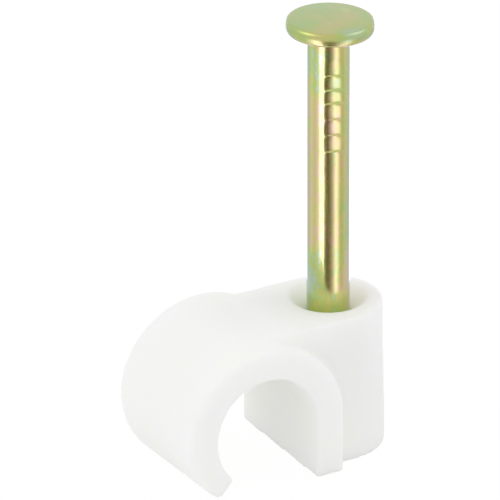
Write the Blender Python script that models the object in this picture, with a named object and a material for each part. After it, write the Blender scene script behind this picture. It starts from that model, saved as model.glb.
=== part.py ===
"""Nail-in clip for one round cable: a moulded clip body with a steel nail standing in its boss.

Metres, +Z up. The wall face lies on z = 0 and the cable runs along Y. The part is symmetrical about
Y = 0 but for the mould draft, from the near face (-Y) to the far one: the channel narrows and the hook
widens.
"""

import math

import bmesh
import bpy

for old in list(bpy.data.objects):
    bpy.data.objects.remove(old, do_unlink=True)

MM = 0.001

# Cable channel, with the mould's draft from the near face to the far one.
CHANNEL_RADIUS_NEAR = 2.54 * MM
CHANNEL_DRAFT = 0.26 * MM
CHANNEL_RADIUS_FAR = CHANNEL_RADIUS_NEAR - CHANNEL_DRAFT
CHANNEL_OFF_WALL = 0.50 * MM
CHANNEL_ABOVE_WALL = CHANNEL_OFF_WALL + CHANNEL_RADIUS_NEAR

# Hook: the C-shaped wall round the channel. Its tip is flared inside, so that the cable snaps in.
HOOK_DEPTH = 6.86 * MM
HOOK_WALL = 1.44 * MM
HOOK_DRAFT = 0.13 * MM
HOOK_DROP = 0.04 * MM
HOOK_RADIUS_NEAR = CHANNEL_RADIUS_NEAR + HOOK_WALL
HOOK_RADIUS_FAR = HOOK_RADIUS_NEAR + HOOK_DRAFT
HOOK_ABOVE_WALL = CHANNEL_ABOVE_WALL - HOOK_DROP
TIP_FLARE_NEAR = 0.16 * MM
TIP_FLARE_FAR = 0.28 * MM
TIP_WALL_NEAR = 1.08 * MM
TIP_WALL_FAR = 1.68 * MM
TIP_ANGLE_NEAR = math.radians(228.5)
TIP_ANGLE_FAR = math.radians(224.5)
TAPER_FROM = math.radians(170.0)
HOOK_FACE_ROUND = 0.16 * MM
LEG_FOOT_ROUND = 0.08 * MM
TIP_ROUND = 0.14 * MM

# Nail: gauge, head and point. It is held with its point inside the boss, ready to be driven.
NAIL_RADIUS = 1.0 * MM
NAIL_LENGTH = 20.0 * MM
POINT_ABOVE_WALL = 1.15 * MM
NAIL_TOP = POINT_ABOVE_WALL + NAIL_LENGTH
HEAD_OVERHANG = 1.03 * MM
HEAD_RADIUS = NAIL_RADIUS + HEAD_OVERHANG
HEAD_DOME = 0.06 * MM
HEAD_EDGE_WIDTH = 0.37 * MM
HEAD_RIM_ABOVE = 0.34 * MM
HEAD_RIM_BELOW = 0.30 * MM
HEAD_UNDER_WIDTH = 0.23 * MM
HEAD_TAPER = 0.28 * MM
NECK_ROUND = 0.10 * MM
POINT_LENGTH = 2.8 * MM
POINT_BLUNT = 0.06 * MM

# Gripper marks: six shallow V grooves across each of two opposite sides of the shank.
GRIP_BELOW_TOP = 2.42 * MM
GRIP_PITCH = 0.74 * MM
GRIP_COUNT = 6
GRIP_DEPTH = 0.08 * MM
GRIP_HALF_HEIGHT = 0.13 * MM
GRIP_ANGLE = math.radians(-105.0)

# Nail hole: a running fit on the shank, opened at its top into a funnel that guides the head.
NAIL_CLEARANCE = 0.05 * MM
BORE_RADIUS = NAIL_RADIUS + NAIL_CLEARANCE
FUNNEL_FLARE = 0.55 * MM
FUNNEL_RIM_RADIUS = BORE_RADIUS + FUNNEL_FLARE
FUNNEL_DEPTH = 1.55 * MM
FUNNEL_RIM_ROUND = 0.38 * MM

# Boss and web: one drafted column round the nail hole that also backs the hook's leg and crown.
BOSS_RIM_WIDTH = 0.52 * MM
BOSS_RADIUS_TOP = FUNNEL_RIM_RADIUS + FUNNEL_RIM_ROUND + BOSS_RIM_WIDTH
BOSS_DRAFT = 0.14 * MM
BOSS_RADIUS_FOOT = BOSS_RADIUS_TOP + BOSS_DRAFT
BOSS_TOP_ROUND = 0.18 * MM
BOSS_FOOT_ROUND = 0.06 * MM
BOSS_ABOVE_HOOK = 0.07 * MM
CLIP_HEIGHT = HOOK_ABOVE_WALL + HOOK_RADIUS_FAR + BOSS_ABOVE_HOOK
WEB_BEHIND_CHANNEL = 0.22 * MM
WEB_ABOVE_CHANNEL = 0.14 * MM
WEB_STEP = 0.02 * MM
WEB_UNDER_CROWN = 0.16 * MM
WEB_RAMP_RUN = 1.45 * MM

# Cutters run this far past the faces that they open.
CUT_PAST = 1.0 * MM

# Curve divisions.
ARC_STEPS = 44
BOSS_STEPS = 48
ROUND_STEPS = 4
HEAD_STEPS = 6
NAIL_STEPS = 48

# The frame's origin is the middle of the outline's box on the wall face.
LEG_TO_BORE = 1.37 * MM
CHANNEL_FROM_NAIL = CHANNEL_RADIUS_NEAR + LEG_TO_BORE + BORE_RADIUS
LEFT_EDGE = -CHANNEL_FROM_NAIL - HOOK_RADIUS_FAR
NAIL_X = -(LEFT_EDGE + BOSS_RADIUS_FOOT) / 2
CHANNEL_X = NAIL_X - CHANNEL_FROM_NAIL


def mix(near, far, share):
    """Value between two ends."""
    return near + (far - near) * share


def arc_corner(before, corner, after, steps):
    """Points of a rounded corner, tangent to both sides."""
    ax, ay = before[0] - corner[0], before[1] - corner[1]
    bx, by = after[0] - corner[0], after[1] - corner[1]
    inner = math.acos((ax * bx + ay * by) / (math.hypot(ax, ay) * math.hypot(bx, by)))
    weight = math.sin(inner / 2)
    points = []
    for step in range(steps + 1):
        t = step / steps
        a, b, c = (1 - t) ** 2, 2 * t * (1 - t) * weight, t**2
        total = a + b + c
        x = (a * before[0] + b * corner[0] + c * after[0]) / total
        y = (a * before[1] + b * corner[1] + c * after[1]) / total
        points.append((x, y))
    return points


def new_object(name, points, faces):
    """Mesh object from points and faces, with its normals facing out."""
    mesh = bpy.data.meshes.new(name)
    mesh.from_pydata(points, [], faces)
    work = bmesh.new()
    work.from_mesh(mesh)
    bmesh.ops.recalc_face_normals(work, faces=work.faces)
    work.to_mesh(mesh)
    work.free()
    made = bpy.data.objects.new(name, mesh)
    bpy.context.scene.collection.objects.link(made)
    return made


def loft(name, rings):
    """Closed body through rings of equal length, capped at both ends."""
    size = len(rings[0])
    points = [point for ring in rings for point in ring]
    faces = []
    for level in range(len(rings) - 1):
        low, high = level * size, (level + 1) * size
        for i in range(size):
            j = (i + 1) % size
            faces.append((low + i, low + j, high + j, high + i))
    faces.append(tuple(range(size)))
    faces.append(tuple(range((len(rings) - 1) * size, len(rings) * size)))
    return new_object(name, points, faces)


def lathe(name, profile, steps, centre_x):
    """Body turned about a vertical axis from (radius, height) pairs, which may end on the axis."""
    points = []
    rows = []
    for radius, height in profile:
        if radius == 0:
            points.append((centre_x, 0, height))
            rows.append([len(points) - 1] * steps)
            continue
        row = []
        for step in range(steps):
            turn = 2 * math.pi * step / steps
            points.append((centre_x + radius * math.cos(turn), radius * math.sin(turn), height))
            row.append(len(points) - 1)
        rows.append(row)
    faces = []
    for low, high in zip(rows, rows[1:]):
        for i in range(steps):
            j = (i + 1) % steps
            face = (low[i], low[j], high[j], high[i])
            faces.append(tuple(dict.fromkeys(face)))
    if profile[0][0] > 0:
        faces.append(tuple(rows[0]))
    if profile[-1][0] > 0:
        faces.append(tuple(rows[-1]))
    return new_object(name, points, faces)


def helper(made):
    """Keeps a cutter or a joined piece out of the picture."""
    made.hide_render = True
    made.display_type = "WIRE"
    return made


def boolean(target, other, operation):
    """Exact Boolean modifier."""
    modifier = target.modifiers.new(operation.title(), "BOOLEAN")
    modifier.operation = operation
    modifier.solver = "EXACT"
    modifier.object = helper(other)
    return modifier


def material(name, colour, metallic, roughness):
    """Principled material."""
    made = bpy.data.materials.new(name)
    made.use_nodes = True
    shader = made.node_tree.nodes["Principled BSDF"]
    shader.inputs["Base Color"].default_value = (*colour, 1)
    shader.inputs["Metallic"].default_value = metallic
    shader.inputs["Roughness"].default_value = roughness
    made.diffuse_color = (*colour, 1)
    return made


def hook_ring(share, y, inset):
    """Hook outline in the plane of one depth. Inset is how far its edge is rounded back there."""
    inner = mix(CHANNEL_RADIUS_NEAR, CHANNEL_RADIUS_FAR, share) + inset
    outer = mix(HOOK_RADIUS_NEAR, HOOK_RADIUS_FAR, share) - inset
    tip_inner = inner + mix(TIP_FLARE_NEAR, TIP_FLARE_FAR, share)
    tip_outer = tip_inner + mix(TIP_WALL_NEAR, TIP_WALL_FAR, share) - 2 * inset
    foot = inset
    foot_round = LEG_FOOT_ROUND
    tip_angle = mix(TIP_ANGLE_NEAR, TIP_ANGLE_FAR, share)
    end = tip_angle - inset / inner

    def on_inner(turn):
        swell = max(0, (turn - TAPER_FROM) / (tip_angle - TAPER_FROM))
        radius = inner + (tip_inner - inner) * swell**1.5
        return (CHANNEL_X + radius * math.cos(turn), CHANNEL_ABOVE_WALL + radius * math.sin(turn))

    def on_outer(turn):
        swell = max(0, (turn - TAPER_FROM) / (tip_angle - TAPER_FROM))
        radius = outer + (tip_outer - outer) * swell**1.5
        return (CHANNEL_X + radius * math.cos(turn), HOOK_ABOVE_WALL + radius * math.sin(turn))

    leg_in = CHANNEL_X + inner
    leg_out = CHANNEL_X + outer
    corner = (leg_in, foot)
    outline = arc_corner((leg_in + foot_round, foot), corner, (leg_in, foot + foot_round), ROUND_STEPS)
    last = end - TIP_ROUND / inner
    for step in range(ARC_STEPS + 1):
        outline.append(on_inner(last * step / ARC_STEPS))
    inner_corner = on_inner(end)
    outer_corner = on_outer(end)
    span = math.dist(inner_corner, outer_corner)
    reach = TIP_ROUND / span
    inner_face = tuple(mix(a, b, reach) for a, b in zip(inner_corner, outer_corner))
    outer_face = tuple(mix(b, a, reach) for a, b in zip(inner_corner, outer_corner))
    outline += arc_corner(on_inner(last), inner_corner, inner_face, ROUND_STEPS)[1:]
    back = end - TIP_ROUND / outer
    outline += arc_corner(outer_face, outer_corner, on_outer(back), ROUND_STEPS)
    for step in range(1, ARC_STEPS + 1):
        outline.append(on_outer(back * (1 - step / ARC_STEPS)))
    corner = (leg_out, foot)
    outline += arc_corner((leg_out, foot + foot_round), corner, (leg_out - foot_round, foot), ROUND_STEPS)
    return [(x, y, z) for x, z in outline]


def hook_body():
    """C-shaped hook, lofted from the near face to the far one with rounded face edges."""
    half = HOOK_DEPTH / 2
    near = []
    for step in range(ROUND_STEPS + 1):
        turn = math.pi / 2 * step / ROUND_STEPS
        y = -half + HOOK_FACE_ROUND * (1 - math.cos(turn))
        near.append((y, HOOK_FACE_ROUND * (1 - math.sin(turn))))
    far = [(-y, inset) for y, inset in reversed(near)]
    rings = []
    for y, inset in near + far:
        rings.append(hook_ring((y + half) / HOOK_DEPTH, y, inset))
    return loft("clip_body", rings)


def column_ring(z, radius, left):
    """Outline of the boss and web at one height: a half circle about the nail and a web to its left."""
    ring = []
    for step in range(BOSS_STEPS // 2 + 1):
        turn = -math.pi / 2 + math.pi * step / (BOSS_STEPS // 2)
        ring.append((NAIL_X + radius * math.cos(turn), radius * math.sin(turn), z))
    ring.append((left, radius, z))
    ring.append((left, -radius, z))
    return ring


def column_body():
    """Boss and web. Low down the web ends in the hook's leg; above the channel it runs onto the crown."""
    behind_leg = CHANNEL_X + CHANNEL_RADIUS_NEAR + WEB_BEHIND_CHANNEL
    at_crown = CHANNEL_X
    over_channel = CHANNEL_ABOVE_WALL + CHANNEL_RADIUS_NEAR + WEB_ABOVE_CHANNEL
    ramp_start = HOOK_ABOVE_WALL + HOOK_RADIUS_NEAR - WEB_UNDER_CROWN
    top_ring_start = CLIP_HEIGHT - BOSS_TOP_ROUND
    levels = []
    for step in range(ROUND_STEPS + 1):
        turn = math.pi / 2 * step / ROUND_STEPS
        z = BOSS_FOOT_ROUND * (1 - math.cos(turn))
        levels.append((z, -BOSS_FOOT_ROUND * (1 - math.sin(turn)), behind_leg))
    levels.append((over_channel, 0, behind_leg))
    levels.append((over_channel + WEB_STEP, 0, at_crown))
    levels.append((ramp_start, 0, at_crown))
    for step in range(ROUND_STEPS + 1):
        turn = math.pi / 2 * step / ROUND_STEPS
        z = top_ring_start + BOSS_TOP_ROUND * math.sin(turn)
        ramp = (z - ramp_start) / (CLIP_HEIGHT - ramp_start)
        levels.append((z, -BOSS_TOP_ROUND * (1 - math.cos(turn)), at_crown + WEB_RAMP_RUN * ramp**2))
    rings = []
    for z, inset, left in levels:
        radius = mix(BOSS_RADIUS_FOOT, BOSS_RADIUS_TOP, z / CLIP_HEIGHT) + inset
        rings.append(column_ring(z, radius, left))
    return loft("boss_and_web", rings)


def nail_hole():
    """Cutter for the bore and for the funnel at its top, whose wall turns over into the flat top."""
    floor = CLIP_HEIGHT - FUNNEL_DEPTH
    bend = CLIP_HEIGHT - FUNNEL_RIM_ROUND
    lean = math.atan((FUNNEL_RIM_RADIUS - BORE_RADIUS) / (bend - floor))
    outer = FUNNEL_RIM_RADIUS + FUNNEL_RIM_ROUND
    profile = [(BORE_RADIUS, -CUT_PAST), (BORE_RADIUS, floor)]
    steps = 2 * ROUND_STEPS
    for step in range(steps + 1):
        turn = mix(lean, math.pi / 2, step / steps)
        radius = outer - FUNNEL_RIM_ROUND * math.cos(turn)
        profile.append((radius, bend + FUNNEL_RIM_ROUND * math.sin(turn)))
    profile.append((outer, CLIP_HEIGHT + CUT_PAST))
    return lathe("nail_hole", profile, NAIL_STEPS, NAIL_X)


def nail_blank():
    """Head and plain shank, turned about the nail's axis."""
    rim = NAIL_TOP - HEAD_DOME - HEAD_RIM_ABOVE
    seat = rim - HEAD_RIM_BELOW
    neck = seat - HEAD_TAPER
    under = HEAD_RADIUS - HEAD_UNDER_WIDTH
    flat = HEAD_RADIUS - HEAD_EDGE_WIDTH
    share = NECK_ROUND / math.dist((NAIL_RADIUS, neck), (under, seat))
    past_neck = (mix(NAIL_RADIUS, under, share), mix(neck, seat, share))
    profile = [(NAIL_RADIUS, POINT_ABOVE_WALL)]
    profile += arc_corner((NAIL_RADIUS, neck - NECK_ROUND), (NAIL_RADIUS, neck), past_neck, ROUND_STEPS)
    for step in range(HEAD_STEPS + 1):
        turn = math.pi / 2 * step / HEAD_STEPS
        profile.append((under + HEAD_UNDER_WIDTH * math.sin(turn), rim - HEAD_RIM_BELOW * math.cos(turn)))
    for step in range(1, HEAD_STEPS + 1):
        turn = math.pi / 2 * step / HEAD_STEPS
        profile.append((flat + HEAD_EDGE_WIDTH * math.cos(turn), rim + HEAD_RIM_ABOVE * math.sin(turn)))
    profile.append((flat / 2, NAIL_TOP - HEAD_DOME / 4))
    profile.append((0, NAIL_TOP))
    return lathe("nail", profile, NAIL_STEPS, NAIL_X)


def point_sheath():
    """Body that the nail is kept inside: a square pyramid for its four-sided point, wide open above."""
    spread = NAIL_RADIUS * 1.5
    top = POINT_ABOVE_WALL + POINT_LENGTH * (spread - POINT_BLUNT) / (NAIL_RADIUS - POINT_BLUNT)
    wide = HEAD_RADIUS + CUT_PAST
    over_head = NAIL_TOP + CUT_PAST
    rings = []
    for half, z in ((POINT_BLUNT, POINT_ABOVE_WALL), (spread, top), (wide, top), (wide, over_head)):
        ring = []
        for corner in range(4):
            turn = GRIP_ANGLE + math.pi / 4 + math.pi / 2 * corner
            reach = half * math.sqrt(2)
            ring.append((NAIL_X + reach * math.cos(turn), reach * math.sin(turn), z))
        rings.append(ring)
    return loft("point_sheath", rings)


def grip_marks():
    """Cutter for the gripper marks: V-shaped bars laid across both sides of the shank."""
    points = []
    faces = []
    floor = NAIL_RADIUS - GRIP_DEPTH
    outside = NAIL_RADIUS + 2 * GRIP_DEPTH
    flare = GRIP_HALF_HEIGHT * (outside - floor) / GRIP_DEPTH
    half_run = NAIL_RADIUS
    for side in (0, math.pi):
        out = (math.cos(GRIP_ANGLE + side), math.sin(GRIP_ANGLE + side))
        along = (-out[1], out[0])
        for mark in range(GRIP_COUNT):
            z = NAIL_TOP - GRIP_BELOW_TOP - mark * GRIP_PITCH
            first = len(points)
            for run in (-half_run, half_run):
                for reach, rise in ((floor, 0), (outside, flare), (outside, -flare)):
                    x = NAIL_X + out[0] * reach + along[0] * run
                    y = out[1] * reach + along[1] * run
                    points.append((x, y, z + rise))
            a, b = first, first + 3
            faces.append((a, a + 1, a + 2))
            faces.append((b, b + 1, b + 2))
            for i in range(3):
                j = (i + 1) % 3
                faces.append((a + i, a + j, b + j, b + i))
    return new_object("grip_marks", points, faces)


plastic = material("white_plastic", (0.86, 0.87, 0.83), 0.0, 0.45)
passivated = material("yellow_passivated_steel", (0.66, 0.62, 0.28), 1.0, 0.28)

clip_body = hook_body()
clip_body.data.materials.append(plastic)
boolean(clip_body, column_body(), "UNION")
boolean(clip_body, nail_hole(), "DIFFERENCE")

nail = nail_blank()
nail.data.materials.append(passivated)
boolean(nail, point_sheath(), "INTERSECT")
boolean(nail, grip_marks(), "DIFFERENCE")
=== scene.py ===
"""Looks of a nail-in cable clip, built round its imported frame. Metres, +Z up, the wall face on z = 0.

The moulded clip and its nail are drawn in millimetres and brought to metres at the end of each mesh.
"""

import math

import bmesh
import bpy
import numpy as np
from mathutils import Matrix, Vector


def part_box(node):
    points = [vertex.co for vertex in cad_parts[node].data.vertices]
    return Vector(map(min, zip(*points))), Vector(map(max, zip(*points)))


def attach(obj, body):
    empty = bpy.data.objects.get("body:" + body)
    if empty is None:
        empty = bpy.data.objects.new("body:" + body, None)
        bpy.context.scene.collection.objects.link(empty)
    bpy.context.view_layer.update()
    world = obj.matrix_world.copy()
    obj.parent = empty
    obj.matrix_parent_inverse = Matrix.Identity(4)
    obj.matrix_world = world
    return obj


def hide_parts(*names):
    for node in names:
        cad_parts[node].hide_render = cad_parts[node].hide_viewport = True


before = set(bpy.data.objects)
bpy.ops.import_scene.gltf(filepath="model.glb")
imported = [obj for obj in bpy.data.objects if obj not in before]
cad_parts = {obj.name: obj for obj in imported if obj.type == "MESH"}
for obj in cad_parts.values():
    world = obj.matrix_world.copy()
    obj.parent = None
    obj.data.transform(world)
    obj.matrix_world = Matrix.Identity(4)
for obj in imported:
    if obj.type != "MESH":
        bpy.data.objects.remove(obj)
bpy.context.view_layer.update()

# Clip body. One injection moulding in white polypropylene: a C-shaped hook that snaps over the cable, and
# a boss and web that carry the nail beside it. The tool's draft shows along Y: the channel narrows and the
# hook grows from the near face (-Y) to the far one, and every edge is rounded a little.
MM = 0.001
body_low, body_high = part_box("clip_body")
nail_low, nail_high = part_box("nail")
NAIL_X = (nail_low.x + nail_high.x) / 2 / MM
CLIP_TOP = body_high.z / MM
HALF_DEPTH = body_high.y / MM
# In a pair the near face's value comes first. The boss's pair is its radius at the foot and at the top.
CHANNEL_X = NAIL_X - 4.96
CHANNEL_Z = 3.04
CHANNEL_RADIUS = (2.54, 2.28)
HOOK_Z = 3.00
HOOK_RADIUS = (3.98, 4.11)
TIP_INNER = (2.70, 2.56)
TIP_OUTER = (3.78, 4.24)
TIP_ANGLE = (math.radians(228.5), math.radians(224.5))
TIP_SWELLS_FROM = math.radians(170)
TIP_SWELL = 1.5
OUTER_ROUND = (0.30, 0.10)
INNER_ROUND = (0.08, 0.08)
TIP_ROUND = 0.06
BOSS_RADIUS = (2.64, 2.50)
BOSS_TOP_ROUND = 0.03
WEB_IN_LEG = NAIL_X - 2.2
WEB_OVER_CHANNEL = 5.72
WEB_STEP = 0.02
WEB_RAMP_Z = 6.82
WEB_RAMP_RUN = 1.45
BORE_RADIUS = 1.05
FUNNEL_RIM_RADIUS = 1.64
FUNNEL_DEPTH = 0.72
FUNNEL_RIM_ROUND = 0.24
FUNNEL_OFFSET = (0.16, 0.28)
CUT_BEYOND = 1.0
BLEND_ABOVE = 4.5
BLEND_FROM_NAIL = 2.2
BLEND_SHARE = 0.5
EDGE_SHARE = 0.15
SOFTEN_PASSES = 10
SKIN_VOXEL = 0.075
ARC_STEPS = 120
ROUND_STEPS = 6


def between(ends, share):
    """Value at a share of the way between two ends, such as the near face's and the far one's."""
    return ends[0] + (ends[1] - ends[0]) * share


def working_object(name, points, faces):
    """Mesh object in millimetres from points and faces, with its normals facing out."""
    mesh = bpy.data.meshes.new(name)
    mesh.from_pydata(points, [], faces)
    work = bmesh.new()
    work.from_mesh(mesh)
    bmesh.ops.recalc_face_normals(work, faces=work.faces)
    work.to_mesh(mesh)
    work.free()
    made = bpy.data.objects.new(name, mesh)
    bpy.context.scene.collection.objects.link(made)
    return made


def lofted(name, rings):
    """Closed body through rings of one length, capped at both ends."""
    size = len(rings[0])
    points = [point for ring in rings for point in ring]
    faces = [tuple(range(size)), tuple(range((len(rings) - 1) * size, len(rings) * size))]
    for level in range(len(rings) - 1):
        low, high = level * size, (level + 1) * size
        for i in range(size):
            j = (i + 1) % size
            faces.append((low + i, low + j, high + j, high + i))
    return working_object(name, points, faces)


def rounding(depth, radius):
    """How far an edge of this radius draws in at a depth below the face."""
    return radius - math.sqrt(radius**2 - max(radius - depth, 0) ** 2)


def hook_outline(y):
    """Hook's C outline at one depth, drawn in where the edges of its faces round over."""
    share = (y + HALF_DEPTH) / HALF_DEPTH / 2
    face = 0 if y < 0 else 1
    inner_inset = rounding(HALF_DEPTH - abs(y), INNER_ROUND[face])
    outer_inset = rounding(HALF_DEPTH - abs(y), OUTER_ROUND[face])
    inner = between(CHANNEL_RADIUS, share) + inner_inset
    outer = between(HOOK_RADIUS, share) - outer_inset
    tip_inner = between(TIP_INNER, share) + inner_inset
    tip_outer = between(TIP_OUTER, share) - outer_inset
    tip = between(TIP_ANGLE, share)
    end = tip - inner_inset / inner

    def arc(radius, tip_radius, centre_z, turn):
        swell = max(0, (turn - TIP_SWELLS_FROM) / (tip - TIP_SWELLS_FROM)) ** TIP_SWELL
        reach = radius + (tip_radius - radius) * swell
        return (CHANNEL_X + reach * math.cos(turn), y, centre_z + reach * math.sin(turn))

    outline = [(CHANNEL_X + inner, y, inner_inset)]
    inner_end = end - TIP_ROUND / inner
    outer_end = end - TIP_ROUND / outer
    for step in range(ARC_STEPS + 1):
        outline.append(arc(inner, tip_inner, CHANNEL_Z, inner_end * step / ARC_STEPS))
    inner_corner = Vector(arc(inner, tip_inner, CHANNEL_Z, end))
    outer_corner = Vector(arc(outer, tip_outer, HOOK_Z, end))
    cut = (outer_corner - inner_corner).normalized() * TIP_ROUND
    outline.append(tuple(inner_corner + cut))
    outline.append(tuple(outer_corner - cut))
    for step in range(ARC_STEPS + 1):
        outline.append(arc(outer, tip_outer, HOOK_Z, outer_end * (1 - step / ARC_STEPS)))
    outline.append((CHANNEL_X + outer, y, inner_inset))
    return outline


def hook():
    """C-shaped hook, whose outer near edge is the roundest."""
    depths = []
    for face, side in enumerate((-1, 1)):
        for radius in (OUTER_ROUND[face], INNER_ROUND[face]):
            for step in range(ROUND_STEPS + 1):
                drop = radius * (1 - math.cos(math.pi / 2 * step / ROUND_STEPS))
                depths.append(round(side * (HALF_DEPTH - drop), 5))
    return lofted("hook", [hook_outline(y) for y in sorted(set(depths))])


def boss_and_web():
    """Drafted boss round the nail hole, with the web that runs from it out over the hook's crown."""
    levels = [(0, 0, WEB_IN_LEG), (WEB_OVER_CHANNEL, 0, WEB_IN_LEG)]
    levels += [(z, 0, CHANNEL_X) for z in (WEB_OVER_CHANNEL + WEB_STEP, WEB_RAMP_Z)]
    for step in range(ROUND_STEPS + 1):
        turn = math.pi / 2 * step / ROUND_STEPS
        z = CLIP_TOP - BOSS_TOP_ROUND * (1 - math.sin(turn))
        inset = BOSS_TOP_ROUND * (1 - math.cos(turn))
        ramp = (z - WEB_RAMP_Z) / (CLIP_TOP - WEB_RAMP_Z)
        levels.append((z, inset, CHANNEL_X + WEB_RAMP_RUN * ramp**2))
    rings = []
    for z, inset, left in levels:
        radius = between(BOSS_RADIUS, z / CLIP_TOP) - inset
        ring = []
        for step in range(ARC_STEPS // 2 + 1):
            turn = math.pi * (step / (ARC_STEPS // 2) - 0.5)
            ring.append((NAIL_X + radius * math.cos(turn), radius * math.sin(turn), z))
        ring += [(left, radius, z), (left, -radius, z)]
        rings.append(ring)
    return lofted("boss_and_web", rings)


def nail_hole():
    """Cutter for the bore and its funnel, whose rim lies a little aside and turns over into the flat top."""
    floor = CLIP_TOP - FUNNEL_DEPTH
    bend = CLIP_TOP - FUNNEL_RIM_ROUND
    lean = math.atan((FUNNEL_RIM_RADIUS - BORE_RADIUS) / (bend - floor))
    crest = FUNNEL_RIM_RADIUS + FUNNEL_RIM_ROUND
    profile = [(BORE_RADIUS, -CUT_BEYOND), (BORE_RADIUS, floor)]
    steps = 2 * ROUND_STEPS
    for step in range(steps + 1):
        turn = between((lean, math.pi / 2), step / steps)
        radius = crest - FUNNEL_RIM_ROUND * math.cos(turn)
        profile.append((radius, bend + FUNNEL_RIM_ROUND * math.sin(turn)))
    profile.append((crest, CLIP_TOP + CUT_BEYOND))
    rings = []
    turns = [2 * math.pi * step / ARC_STEPS for step in range(ARC_STEPS)]
    for radius, z in profile:
        aside = (radius - BORE_RADIUS) / (crest - BORE_RADIUS)
        x, y = NAIL_X + aside * FUNNEL_OFFSET[0], aside * FUNNEL_OFFSET[1]
        rings.append([(x + radius * math.cos(turn), y + radius * math.sin(turn), z) for turn in turns])
    return lofted("nail_hole", rings)


def soften(points, edges, share, passes):
    """Rounds edges and blends: in each pass a point moves towards the mean of its neighbours."""
    count = np.bincount(edges.ravel(), minlength=len(points))[:, None]
    for _ in range(passes):
        total = np.zeros_like(points)
        for axis in range(3):
            total[:, axis] = np.bincount(edges[:, 0], points[edges[:, 1], axis], len(points))
            total[:, axis] += np.bincount(edges[:, 1], points[edges[:, 0], axis], len(points))
        points = points + share[:, None] * (total / count - points)
    return points


def moulding():
    """Hook, boss and web joined, bored, given one even skin and softened as a worn tool leaves them."""
    joined = hook()
    others = ((boss_and_web(), "UNION"), (nail_hole(), "DIFFERENCE"))
    for other, operation in others:
        step = joined.modifiers.new(operation.title(), "BOOLEAN")
        step.operation, step.solver, step.object = operation, "EXACT", other
    skin = joined.modifiers.new("Even skin", "REMESH")
    skin.mode, skin.voxel_size = "VOXEL", SKIN_VOXEL
    graph = bpy.context.evaluated_depsgraph_get()
    mesh = bpy.data.meshes.new_from_object(joined.evaluated_get(graph))
    for made in (joined, *(other for other, _ in others)):
        bpy.data.objects.remove(made)
    points = np.empty(len(mesh.vertices) * 3)
    mesh.vertices.foreach_get("co", points)
    points = points.reshape(-1, 3)
    edges = np.empty(len(mesh.edges) * 2, np.int64)
    mesh.edges.foreach_get("vertices", edges)
    in_blend = (points[:, 2] > BLEND_ABOVE) & (points[:, 0] < NAIL_X - BLEND_FROM_NAIL)
    share = np.where(in_blend, BLEND_SHARE, EDGE_SHARE)
    points = soften(points, edges.reshape(-1, 2), share, SOFTEN_PASSES)
    points = np.clip(points * MM, np.array(body_low), np.array(body_high))
    mesh.vertices.foreach_set("co", points.ravel())
    mesh.update()
    mesh.shade_smooth()
    return mesh


clip = bpy.data.objects.new("clip_moulding", moulding())
bpy.context.scene.collection.objects.link(clip)
print("clip moulding:", len(clip.data.polygons), "faces")


def computed(nodes, links, operation, *values):
    """Math node on values that are sockets or numbers."""
    node = nodes.new("ShaderNodeMath")
    node.operation = operation
    for socket, value in zip(node.inputs, values):
        if isinstance(value, float):
            socket.default_value = value
        else:
            links.new(value, socket)
    return node.outputs[0]


# Mottle, for the plastic's flow and grain and for the nail's film: soft patches, drawn out along Z.
NOISE_LOW, NOISE_HIGH = 0.3, 0.7


def mottle_group():
    """Node group: patches of a size in millimetres, stretched along Z, as a mask from 0 to 1."""
    group = bpy.data.node_groups.new("mottle", "ShaderNodeTree")
    sockets = group.interface
    for name, value in (("Patch size mm", 1.0), ("Stretch", 1.0), ("Detail", 2.0), ("Seed", 0.0)):
        sockets.new_socket(name, in_out="INPUT", socket_type="NodeSocketFloat").default_value = value
    sockets.new_socket("Mask", in_out="OUTPUT", socket_type="NodeSocketFloat")
    nodes, links = group.nodes, group.links
    given, out = nodes.new("NodeGroupInput"), nodes.new("NodeGroupOutput")
    coordinates = nodes.new("ShaderNodeTexCoord")
    to_mm = nodes.new("ShaderNodeVectorMath")
    to_mm.operation = "SCALE"
    to_mm.inputs["Scale"].default_value = 1 / MM
    axes = nodes.new("ShaderNodeSeparateXYZ")
    squeezed = computed(nodes, links, "DIVIDE", axes.outputs["Z"], given.outputs["Stretch"])
    together = nodes.new("ShaderNodeCombineXYZ")
    frequency = computed(nodes, links, "DIVIDE", 1.0, given.outputs["Patch size mm"])
    noise = nodes.new("ShaderNodeTexNoise")
    noise.noise_dimensions = "4D"
    spread = nodes.new("ShaderNodeMapRange")
    spread.inputs["From Min"].default_value = NOISE_LOW
    spread.inputs["From Max"].default_value = NOISE_HIGH
    links.new(coordinates.outputs["Object"], to_mm.inputs[0])
    links.new(to_mm.outputs["Vector"], axes.inputs[0])
    links.new(axes.outputs["X"], together.inputs["X"])
    links.new(axes.outputs["Y"], together.inputs["Y"])
    links.new(squeezed, together.inputs["Z"])
    links.new(together.outputs[0], noise.inputs["Vector"])
    links.new(frequency, noise.inputs["Scale"])
    links.new(given.outputs["Detail"], noise.inputs["Detail"])
    links.new(given.outputs["Seed"], noise.inputs["W"])
    links.new(noise.outputs["Fac"], spread.inputs["Value"])
    links.new(spread.outputs["Result"], out.inputs["Mask"])
    return group


MOTTLE = mottle_group()


def mottle(nodes, size, stretch=1.0, detail=2.0, seed=0.0):
    """Mottle node in a material, with its own values."""
    node = nodes.new("ShaderNodeGroup")
    node.node_tree = MOTTLE
    node.inputs["Patch size mm"].default_value = size
    node.inputs["Stretch"].default_value = stretch
    node.inputs["Detail"].default_value = detail
    node.inputs["Seed"].default_value = seed
    return node.outputs["Mask"]


def new_material(name, colour):
    """Material with its nodes, links and Principled shader."""
    made = bpy.data.materials.new(name)
    made.use_nodes = True
    made.diffuse_color = (*colour, 1)
    return made, made.node_tree.nodes, made.node_tree.links, made.node_tree.nodes["Principled BSDF"]


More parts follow.
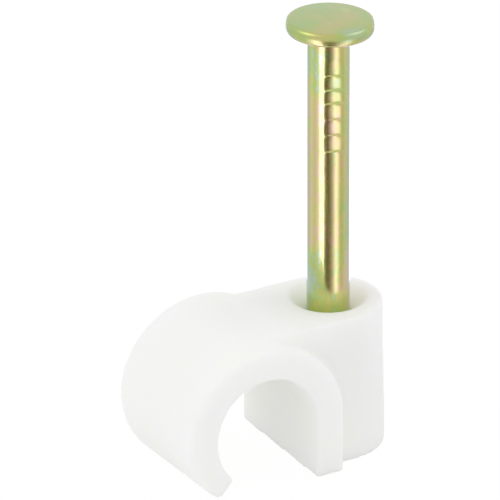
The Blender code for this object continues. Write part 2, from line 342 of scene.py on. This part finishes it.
def ramp(nodes, links, value, stops):
    """Colour ramp from (place, colour) stops."""
    node = nodes.new("ShaderNodeValToRGB")
    for place, colour in stops[1:-1]:
        node.color_ramp.elements.new(place)
    for element, (place, colour) in zip(node.color_ramp.elements, stops):
        element.position = place
        element.color = (*colour, 1)
    links.new(value, node.inputs["Fac"])
    return node.outputs["Color"]


def remapped(nodes, links, value, low, high):
    """A 0 to 1 mask brought to a range of its own."""
    node = nodes.new("ShaderNodeMapRange")
    node.inputs["To Min"].default_value = low
    node.inputs["To Max"].default_value = high
    links.new(value, node.inputs["Value"])
    return node.outputs["Result"]


PLASTIC_WHITE = (0.956, 0.962, 0.926)
PLASTIC_WARM = (0.954, 0.960, 0.896)
PLASTIC_ROUGHNESS = (0.52, 0.66)
plastic, nodes, links, shader = new_material("moulded_white_plastic", PLASTIC_WHITE)
flow = mottle(nodes, size=2.6, detail=1.0, seed=3.0)
grain = mottle(nodes, size=0.05, detail=3.0, seed=8.0)
tint = ramp(nodes, links, flow, [(0.2, PLASTIC_WHITE), (0.8, PLASTIC_WARM)])
links.new(tint, shader.inputs["Base Color"])
links.new(remapped(nodes, links, grain, *PLASTIC_ROUGHNESS), shader.inputs["Roughness"])
waves = nodes.new("ShaderNodeBump")
waves.inputs["Strength"].default_value = 0.10
waves.inputs["Distance"].default_value = 0.03 * MM
links.new(flow, waves.inputs["Height"])
skin = nodes.new("ShaderNodeBump")
skin.inputs["Strength"].default_value = 0.12
skin.inputs["Distance"].default_value = 0.004 * MM
links.new(grain, skin.inputs["Height"])
links.new(waves.outputs["Normal"], skin.inputs["Normal"])
links.new(skin.outputs["Normal"], shader.inputs["Normal"])
shader.inputs["IOR"].default_value = 1.49
shader.inputs["Subsurface Weight"].default_value = 1.0
shader.inputs["Subsurface Radius"].default_value = (1.0, 1.0, 0.92)
shader.inputs["Subsurface Scale"].default_value = 1.2 * MM
shader.inputs["Specular IOR Level"].default_value = 0.07
# The plastic glows faintly in its own white: painted light that lifts the shade in the channel and the
# funnel by a fixed amount.
shader.inputs["Emission Color"].default_value = (*PLASTIC_WHITE, 1)
shader.inputs["Emission Strength"].default_value = 0.055
clip.data.materials.append(plastic)
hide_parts("clip_body")
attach(clip, "clip")

# Nail. Hard-drawn steel wire, headed cold and pinched to a four-sided point, with six gripper marks pressed
# into two sides below the head: hollows, with ridges that stand a little proud. It is zinc plated and
# passivated yellow, and its film runs from straw to green and pink. It stands in the boss, to be driven.
NAIL_TOP = nail_high.z / MM
NAIL_TIP = nail_low.z / MM
SHANK_RADIUS = 1.0
HEAD_RADIUS = 2.04
HEAD_OFFSET = 0.07
HEAD_TILT = math.radians(0.9)
HEAD_LEAN_TOWARDS = math.radians(-28)
HEAD_PIVOT = 0.36
HEAD_DOME = 0.06
HEAD_FLAT_RADIUS = 1.80
HEAD_RIM_ABOVE = 0.34
HEAD_RIM_BELOW = 0.27
HEAD_UNDER_RADIUS = 1.90
HEAD_TAPER = 0.20
HEAD_STEPS = 16
TAPER_SHARES = (0.35, 0.6, 0.85)
DOME_SHARES = (0.85, 0.65, 0.45, 0.25, 0.1)
NECK_BLEND = ((0.0, -0.6), (0.0, -0.12), (0.012, -0.05), (0.04, -0.005), (0.10, 0.035))
POINT_LENGTH = 2.8
POINT_BLUNT = 0.06
POINT_ROWS = 40
POINT_ROWS_REACH = 1.45 * POINT_LENGTH
GRIP_BELOW_TOP = 1.70
GRIP_RIDGES = (0.0, 0.78, 1.493, 2.146, 2.924, 3.696, 4.503)
GRIP_DEPTHS = (0.016, 0.038, 0.042, 0.040, 0.038, 0.036)
GRIP_SPREAD = math.radians(20)
GRIP_SQUARENESS = 3
GRIP_ANGLE = math.radians(-98)
RIDGE_PROUD = (0.0, 0.013, 0.015, 0.013, 0.005, 0.008, 0.013)
RIDGE_WIDTH = 0.05
RIDGE_SPREAD = math.radians(26)
RIDGE_ANGLE = math.radians(-105.5)
RIDGE_EDGES = (0.02, 0.04, 0.06, 0.09, 0.14)
PLAIN_ROWS = 24
PLAIN_END_BELOW_GRIP = 0.2
ROWS_PER_GRIP = 18
NAIL_STEPS = 144


def from_line(turn, line):
    """Angle round the wire from a line along it, or from the opposite line if that is nearer."""
    return math.asin(min(abs(math.sin(turn - line)), 1))


def grip_relief(turn, z):
    """How far the gripper marks move the shank's surface: in at the hollows, out at the ridges."""
    below = NAIL_TOP - GRIP_BELOW_TOP - z
    press = 0
    for upper, lower, depth in zip(GRIP_RIDGES, GRIP_RIDGES[1:], GRIP_DEPTHS):
        if upper < below < lower:
            from_middle = abs(2 * (below - upper) / (lower - upper) - 1)
            press = depth * (1 - from_middle**GRIP_SQUARENESS)
    proud = 0
    for ridge, height in zip(GRIP_RIDGES, RIDGE_PROUD):
        proud += height * math.exp(-(((below - ridge) / RIDGE_WIDTH) ** 2))
    pressed = press * math.exp(-((from_line(turn, GRIP_ANGLE) / GRIP_SPREAD) ** 2))
    raised = proud * math.exp(-((from_line(turn, RIDGE_ANGLE) / RIDGE_SPREAD) ** 4))
    return raised - pressed


def shank_radius(turn, z):
    """Shank's radius: round wire with its gripper marks, pinched flat on four sides towards the point."""
    flat = POINT_BLUNT + (SHANK_RADIUS - POINT_BLUNT) * (z - NAIL_TIP) / POINT_LENGTH
    across = max(abs(math.cos(turn - GRIP_ANGLE)), abs(math.sin(turn - GRIP_ANGLE)))
    return min(SHANK_RADIUS + grip_relief(turn, z), flat / across)


def nail_rows():
    """Heights of the shank's rows, closer together at the point and at the gripper ridges."""
    rows = [NAIL_TIP + POINT_ROWS_REACH * step / POINT_ROWS for step in range(POINT_ROWS + 1)]
    grip_high = NAIL_TOP - GRIP_BELOW_TOP
    grip_low = grip_high - GRIP_RIDGES[-1]
    start, end = rows[-1], grip_low - PLAIN_END_BELOW_GRIP
    for step in range(1, PLAIN_ROWS + 1):
        rows.append(start + (end - start) * step / PLAIN_ROWS)
    rows += [grip_low - edge for edge in reversed(RIDGE_EDGES)]
    rows.append(grip_low)
    for upper, lower in reversed(list(zip(GRIP_RIDGES, GRIP_RIDGES[1:]))):
        for step in range(1, ROWS_PER_GRIP + 1):
            share = (1 - math.cos(math.pi * step / ROWS_PER_GRIP)) / 2
            rows.append(grip_high - lower + (lower - upper) * share)
    rows += [grip_high + edge for edge in RIDGE_EDGES]
    return rows


def nail_mesh():
    """Point, shank and head as one skin of rings, with the head set a little aside and aslant."""
    rim = NAIL_TOP - HEAD_DOME - HEAD_RIM_ABOVE
    seat = rim - HEAD_RIM_BELOW
    neck = seat - HEAD_TAPER
    turns = [2 * math.pi * step / NAIL_STEPS for step in range(NAIL_STEPS)]
    rings = []
    for z in nail_rows():
        rings.append([(shank_radius(turn, z), turn, z) for turn in turns])
    head = [(SHANK_RADIUS + out, neck + above) for out, above in NECK_BLEND]
    for share in TAPER_SHARES:
        head.append((between((SHANK_RADIUS, HEAD_UNDER_RADIUS), share), between((neck, seat), share)))
    for step in range(HEAD_STEPS + 1):
        turn = math.pi / 2 * step / HEAD_STEPS
        radius = between((HEAD_UNDER_RADIUS, HEAD_RADIUS), math.sin(turn))
        head.append((radius, rim - HEAD_RIM_BELOW * math.cos(turn)))
    for step in range(1, HEAD_STEPS + 1):
        turn = math.pi / 2 * step / HEAD_STEPS
        radius = between((HEAD_FLAT_RADIUS, HEAD_RADIUS), math.cos(turn))
        head.append((radius, rim + HEAD_RIM_ABOVE * math.sin(turn)))
    for share in DOME_SHARES:
        head.append((HEAD_FLAT_RADIUS * share, NAIL_TOP - HEAD_DOME * share**2))
    rings += [[(radius, turn, z) for turn in turns] for radius, z in head]
    points = [(NAIL_X, 0, NAIL_TIP)]
    for ring in rings:
        for radius, turn, z in ring:
            points.append((NAIL_X + radius * math.cos(turn), radius * math.sin(turn), z))
    points.append((NAIL_X, 0, NAIL_TOP))
    faces = []
    top = 1 + (len(rings) - 1) * NAIL_STEPS
    for step in range(NAIL_STEPS):
        after = (step + 1) % NAIL_STEPS
        faces.append((0, 1 + after, 1 + step))
        for level in range(len(rings) - 1):
            low, high = 1 + level * NAIL_STEPS, 1 + (level + 1) * NAIL_STEPS
            faces.append((low + step, low + after, high + after, high + step))
        faces.append((top + step, top + after, len(points) - 1))
    made = working_object("nail_skin", points, faces)
    mesh = made.data
    bpy.data.objects.remove(made)
    aside = Vector((math.cos(HEAD_LEAN_TOWARDS), math.sin(HEAD_LEAN_TOWARDS), 0))
    for vertex in mesh.vertices:
        share = min(max((vertex.co.z - neck) / HEAD_TAPER, 0), 1)
        out = (vertex.co - Vector((NAIL_X, 0, 0))).dot(aside)
        vertex.co += aside * HEAD_OFFSET * share
        vertex.co.z -= share * math.tan(HEAD_TILT) * (out + HEAD_PIVOT)
    mesh.transform(Matrix.Scale(MM, 4))
    for vertex in mesh.vertices:
        vertex.co.z = min(vertex.co.z, nail_high.z)
    mesh.shade_smooth()
    return mesh


nail = bpy.data.objects.new("passivated_nail", nail_mesh())
bpy.context.scene.collection.objects.link(nail)
print("nail:", len(nail.data.polygons), "faces")

# Film colours, by the film's tone from 0 to 1.
FILM = [
    (0.00, (0.43, 0.53, 0.40)),
    (0.16, (0.40, 0.51, 0.29)),
    (0.32, (0.40, 0.51, 0.14)),
    (0.48, (0.48, 0.50, 0.14)),
    (0.64, (0.54, 0.48, 0.17)),
    (0.82, (0.57, 0.44, 0.25)),
    (1.00, (0.57, 0.43, 0.29)),
]
# How the film changes down the nail: millimetres below its top, tone, the tone's lean from left to right,
# and lightness. The lean grows with the square of the way from the middle, up to a limit on the right.
# Near the boss, from about 13 mm below the top, the lightness climbs to 1.2: painted light that lifts the
# shade on the wire where it goes into the funnel.
FILM_DRIFT_AND_PAINTED_LIGHT = [
    (0.45, 0.66, 0.00, 0.92),
    (0.62, 0.66, 0.00, 1.00),
    (1.10, 0.64, 0.00, 1.00),
    (1.50, 0.42, 0.25, 1.03),
    (2.50, 0.40, 0.30, 1.05),
    (3.00, 0.48, 0.05, 1.05),
    (3.70, 0.62, -0.20, 1.04),
    (4.50, 0.62, -0.18, 1.03),
    (5.10, 0.56, -0.12, 1.02),
    (6.50, 0.54, -0.12, 1.00),
    (8.00, 0.56, -0.24, 0.99),
    (10.4, 0.54, -0.32, 0.99),
    (11.6, 0.52, 0.42, 1.01),
    (12.9, 0.54, 0.74, 1.02),
    (13.4, 0.42, 0.30, 1.14),
    (14.2, 0.42, 0.10, 1.20),
]
FILM_WANDER = 1.2 * MM
MIDDLE_X = NAIL_X - 0.2
LEAN_ZERO = 0.5
LEAN_LIMIT = 0.45
PATCH_DEPTH = 0.40
SPECK_DEPTH = 0.34
HEAD_TONES = (0.08, 0.60)
HEAD_FILM_BELOW = (0.62, 0.42)
DRAWN_ROUGHNESS = (0.16, 0.26)
HEAD_DULLER = 0.12
film, nodes, links, shader = new_material("yellow_passivated_zinc", FILM[3][1])
patches = mottle(nodes, size=0.42, stretch=3.0, detail=3.0, seed=25.2)
specks = mottle(nodes, size=0.15, stretch=2.4, detail=1.0, seed=6.0)
head_patches = mottle(nodes, size=1.7, stretch=1.0, detail=2.0, seed=34.5)
axes = nodes.new("ShaderNodeSeparateXYZ")
links.new(nodes.new("ShaderNodeTexCoord").outputs["Object"], axes.inputs[0])
deepest = FILM_DRIFT_AND_PAINTED_LIGHT[-1][0]
along = nodes.new("ShaderNodeMapRange")
along.inputs["From Min"].default_value = NAIL_TOP * MM
along.inputs["From Max"].default_value = (NAIL_TOP - deepest) * MM
astray = computed(nodes, links, "SUBTRACT", mottle(nodes, size=1.1, detail=2.0, seed=11.0), 0.5)
height = computed(nodes, links, "MULTIPLY_ADD", astray, FILM_WANDER, axes.outputs["Z"])
links.new(height, along.inputs["Value"])
drift_and_light_stops = []
for below, tone, lean, lightness_and_painted_light in FILM_DRIFT_AND_PAINTED_LIGHT:
    drift_and_light_stops.append((below / deepest, (tone, lean + LEAN_ZERO, lightness_and_painted_light)))
drift_and_painted_light = nodes.new("ShaderNodeSeparateColor")
links.new(ramp(nodes, links, along.outputs["Result"], drift_and_light_stops), drift_and_painted_light.inputs["Color"])
slope = computed(nodes, links, "SUBTRACT", drift_and_painted_light.outputs["Green"], LEAN_ZERO)
aside = computed(nodes, links, "MULTIPLY_ADD", axes.outputs["X"], 1 / MM, -MIDDLE_X)
bent = computed(nodes, links, "MULTIPLY", aside, computed(nodes, links, "ABSOLUTE", aside))
bent = computed(nodes, links, "MINIMUM", bent, LEAN_LIMIT)
on_shank = computed(nodes, links, "MULTIPLY_ADD", slope, bent, drift_and_painted_light.outputs["Red"])
for mask, depth in ((patches, PATCH_DEPTH), (specks, SPECK_DEPTH)):
    around = computed(nodes, links, "SUBTRACT", mask, 0.5)
    on_shank = computed(nodes, links, "MULTIPLY_ADD", around, depth, on_shank)
on_head = nodes.new("ShaderNodeMapRange")
on_head.inputs["From Min"].default_value = (NAIL_TOP - HEAD_FILM_BELOW[0]) * MM
on_head.inputs["From Max"].default_value = (NAIL_TOP - HEAD_FILM_BELOW[1]) * MM
links.new(axes.outputs["Z"], on_head.inputs["Value"])
toned = nodes.new("ShaderNodeMix")
links.new(on_head.outputs["Result"], toned.inputs["Factor"])
links.new(on_shank, toned.inputs["A"])
links.new(remapped(nodes, links, head_patches, *HEAD_TONES), toned.inputs["B"])
# Film colour scaled by the lightness column, which near the boss is painted light that lifts the shade.
lit = nodes.new("ShaderNodeVectorMath")
lit.operation = "SCALE"
links.new(ramp(nodes, links, toned.outputs["Result"], FILM), lit.inputs[0])
links.new(drift_and_painted_light.outputs["Blue"], lit.inputs["Scale"])
links.new(lit.outputs["Vector"], shader.inputs["Base Color"])
drawn = mottle(nodes, size=0.10, stretch=14.0, detail=2.0, seed=5.0)
matt = remapped(nodes, links, drawn, *DRAWN_ROUGHNESS)
matt = computed(nodes, links, "MULTIPLY_ADD", on_head.outputs["Result"], HEAD_DULLER, matt)
links.new(matt, shader.inputs["Roughness"])
zinc = mottle(nodes, size=0.45, stretch=1.6, detail=2.0, seed=7.0)
uneven = nodes.new("ShaderNodeBump")
uneven.inputs["Strength"].default_value = 0.5
uneven.inputs["Distance"].default_value = 0.006 * MM
links.new(zinc, uneven.inputs["Height"])
lines = nodes.new("ShaderNodeBump")
lines.inputs["Strength"].default_value = 0.3
lines.inputs["Distance"].default_value = 0.002 * MM
links.new(drawn, lines.inputs["Height"])
links.new(uneven.outputs["Normal"], lines.inputs["Normal"])
links.new(lines.outputs["Normal"], shader.inputs["Normal"])
shader.inputs["Metallic"].default_value = 1.0
shader.inputs["Specular Tint"].default_value = (0.78, 0.86, 0.96, 1)
shader.inputs["Coat Weight"].default_value = 0.8
shader.inputs["Coat IOR"].default_value = 1.6
shader.inputs["Coat Roughness"].default_value = 0.12
nail.data.materials.append(film)
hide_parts("nail")
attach(nail, "driven_nail")

# Camera, at the photograph's angle: from the front left and above, with a long lens. It is placed by how far
# the foot of the nail's axis lies from the middle of the picture.
CAMERA_TURN = math.radians(27.85)
CAMERA_RISE = math.radians(25.75)
CAMERA_ROLL = math.radians(-0.39)
CAMERA_DISTANCE = 200 * MM
CAMERA_LENS = 308.0
NAIL_FOOT_RIGHT = 3.64 * MM
NAIL_FOOT_UP = -8.65 * MM

ahead = Vector((math.sin(CAMERA_TURN), math.cos(CAMERA_TURN), 0))
level = Vector((math.cos(CAMERA_TURN), -math.sin(CAMERA_TURN), 0))
upright = ahead * math.sin(CAMERA_RISE) + Vector((0, 0, math.cos(CAMERA_RISE)))
into = ahead * math.cos(CAMERA_RISE) - Vector((0, 0, math.sin(CAMERA_RISE)))
right = level * math.cos(CAMERA_ROLL) + upright * math.sin(CAMERA_ROLL)
up = upright * math.cos(CAMERA_ROLL) - level * math.sin(CAMERA_ROLL)
foot = Vector((NAIL_X * MM, 0, 0))
camera = bpy.data.objects.new("camera", bpy.data.cameras.new("camera"))
camera.data.sensor_width = 36.0
camera.data.lens = CAMERA_LENS
camera.data.clip_start = 1 * MM
camera.data.clip_end = 5.0
stand = foot - into * CAMERA_DISTANCE - right * NAIL_FOOT_RIGHT - up * NAIL_FOOT_UP
turned = Matrix((right, up, -into)).transposed().to_4x4()
camera.matrix_world = Matrix.Translation(stand) @ turned
bpy.context.scene.collection.objects.link(camera)
bpy.context.scene.camera = camera

# Studio. A white sweep that reads as pure white to the camera, broad soft light from all round, a soft lamp
# on the left and a weaker one on the right. Cards lie on the table all round the nail, graded from dark to
# bright, and only shine sees them: they give the wire its bands.
FLOOR_RADIUS = 600 * MM
FLOOR_GAP = 0.02 * MM
SWEEP_WHITE = 0.88
SWEEP_LIGHT = 1.03
SWEEP_GLOW = 0.22
SWEEP_SHOWN = 0.90
SKY_FILL = 0.775
LAMP_RISE = math.radians(51)
LAMP_DISTANCE = 250 * MM
LAMP_SIZE = 120 * MM
LAMPS = [("left_light", math.radians(-76), 0.060), ("right_light", math.radians(98), 0.037)]
CARD_REACH = (9 * MM, 150 * MM)
CARD_LIFT = 0.2 * MM
# The cards' light by degrees from the way to the camera, to its right.
CARD_SHINE = [
    (-180, (0.19, 0.16, 0.11)),
    (-173, (0.24, 0.21, 0.16)),
    (-163, (2.10, 2.00, 3.00)),
    (-152, (1.60, 1.52, 2.20)),
    (-138, (0.86, 0.88, 0.88)),
    (-120, (0.80, 0.83, 0.88)),
    (-105, (1.03, 1.07, 1.10)),
    (-90, (1.03, 1.06, 1.04)),
    (-82, (0.96, 0.97, 0.82)),
    (-74, (0.95, 0.94, 0.86)),
    (-62, (1.12, 1.07, 1.36)),
    (-53, (1.32, 1.15, 1.78)),
    (-41, (3.05, 2.75, 3.90)),
    (-25, (3.05, 2.75, 4.00)),
    (-20, (0.24, 0.20, 0.16)),
    (1, (0.22, 0.18, 0.15)),
    (10, (0.45, 0.36, 0.40)),
    (20, (0.77, 0.65, 0.88)),
    (29, (1.40, 1.23, 1.86)),
    (38, (2.32, 1.98, 2.93)),
    (48, (1.85, 1.67, 2.19)),
    (60, (0.89, 0.81, 0.78)),
    (76, (0.85, 0.79, 0.66)),
    (90, (0.94, 0.93, 1.08)),
    (105, (0.93, 0.92, 1.12)),
    (120, (0.85, 0.84, 1.03)),
    (138, (0.84, 0.84, 0.98)),
    (152, (2.60, 2.45, 3.80)),
    (164, (2.60, 2.45, 3.80)),
    (169, (0.21, 0.18, 0.13)),
    (180, (0.19, 0.16, 0.11)),
]


def fan(name, turns, reaches, z, steps=36):
    """Flat sector on the table round the nail's foot. Turns are measured from the way to the camera."""
    points, faces = [], []
    for step in range(steps + 1):
        turn = math.radians(between(turns, step / steps))
        points += [(reach * math.sin(turn), -reach * math.cos(turn), z) for reach in reaches]
    for first in range(0, 2 * steps, 2):
        faces.append((first, first + 2, first + 3, first + 1))
    mesh = bpy.data.meshes.new(name)
    mesh.from_pydata(points, [], faces)
    made = bpy.data.objects.new(name, mesh)
    made.matrix_world = Matrix.Translation(foot) @ Matrix.Rotation(-CAMERA_TURN, 4, "Z")
    bpy.context.scene.collection.objects.link(made)
    return made


def emissive_material(name):
    """Material whose surface is an Emission shader."""
    made = bpy.data.materials.new(name)
    made.use_nodes = True
    nodes, links = made.node_tree.nodes, made.node_tree.links
    nodes.remove(nodes["Principled BSDF"])
    light = nodes.new("ShaderNodeEmission")
    links.new(light.outputs[0], nodes["Material Output"].inputs["Surface"])
    return made, nodes, links, light


first, last = CARD_SHINE[0][0], CARD_SHINE[-1][0]
cards = fan("shine_cards", (first, last), CARD_REACH, CARD_LIFT)
cards.visible_camera = False
cards.visible_diffuse = False
cards.visible_shadow = False
cards.visible_transmission = False
graded, nodes, links, light = emissive_material("graded_cards")
axes = nodes.new("ShaderNodeSeparateXYZ")
links.new(nodes.new("ShaderNodeTexCoord").outputs["Object"], axes.inputs[0])
toward = computed(nodes, links, "MULTIPLY", axes.outputs["Y"], -1.0)
turn = computed(nodes, links, "ARCTAN2", axes.outputs["X"], toward)
share = nodes.new("ShaderNodeMapRange")
share.inputs["From Min"].default_value = math.radians(first)
share.inputs["From Max"].default_value = math.radians(last)
links.new(turn, share.inputs["Value"])
card_stops = [((at - first) / (last - first), shine) for at, shine in CARD_SHINE]
links.new(ramp(nodes, links, share.outputs["Result"], card_stops), light.inputs["Color"])
cards.data.materials.append(graded)


def seen_by_eye(nodes, links):
    """1 for camera, glossy and transmission rays, and 0 for the rest."""
    path = nodes.new("ShaderNodeLightPath")
    found = path.outputs["Is Camera Ray"]
    for kind in ("Is Glossy Ray", "Is Transmission Ray"):
        found = computed(nodes, links, "MAXIMUM", found, path.outputs[kind])
    return found


floor = fan("floor", (0, 360), (0, FLOOR_RADIUS), -FLOOR_GAP, steps=96)
sweep, nodes, links, light = emissive_material("white_sweep")
paper = nodes.new("ShaderNodeBsdfDiffuse")
paper.inputs["Color"].default_value = (SWEEP_WHITE, SWEEP_WHITE, SWEEP_WHITE, 1)
light.inputs["Strength"].default_value = SWEEP_LIGHT
blend = nodes.new("ShaderNodeMixShader")
links.new(remapped(nodes, links, seen_by_eye(nodes, links), SWEEP_GLOW, SWEEP_SHOWN), blend.inputs["Fac"])
links.new(paper.outputs[0], blend.inputs[1])
links.new(light.outputs[0], blend.inputs[2])
links.new(blend.outputs[0], nodes["Material Output"].inputs["Surface"])
floor.data.materials.append(sweep)

world = bpy.data.worlds.new("studio")
world.use_nodes = True
bpy.context.scene.world = world
nodes, links = world.node_tree.nodes, world.node_tree.links
sky = nodes["Background"]
sky.inputs["Color"].default_value = (1, 1, 1, 1)
links.new(remapped(nodes, links, seen_by_eye(nodes, links), SKY_FILL, 1.0), sky.inputs["Strength"])


def soft_lamp(name, turn, power):
    """Square soft light aimed at the clip. Turn is measured from the way to the camera, to its right."""
    across = -ahead * math.cos(turn) + level * math.sin(turn)
    way = across * math.cos(LAMP_RISE) + Vector((0, 0, math.sin(LAMP_RISE)))
    lamp = bpy.data.objects.new(name, bpy.data.lights.new(name, "AREA"))
    lamp.data.size = LAMP_SIZE
    lamp.data.energy = power
    lamp.location = way * LAMP_DISTANCE
    lamp.rotation_mode = "QUATERNION"
    lamp.rotation_quaternion = way.to_track_quat("Z", "Y")
    bpy.context.scene.collection.objects.link(lamp)


for name, turn, power in LAMPS:
    soft_lamp(name, turn, power)

bpy.context.scene.view_settings.view_transform = "Standard"
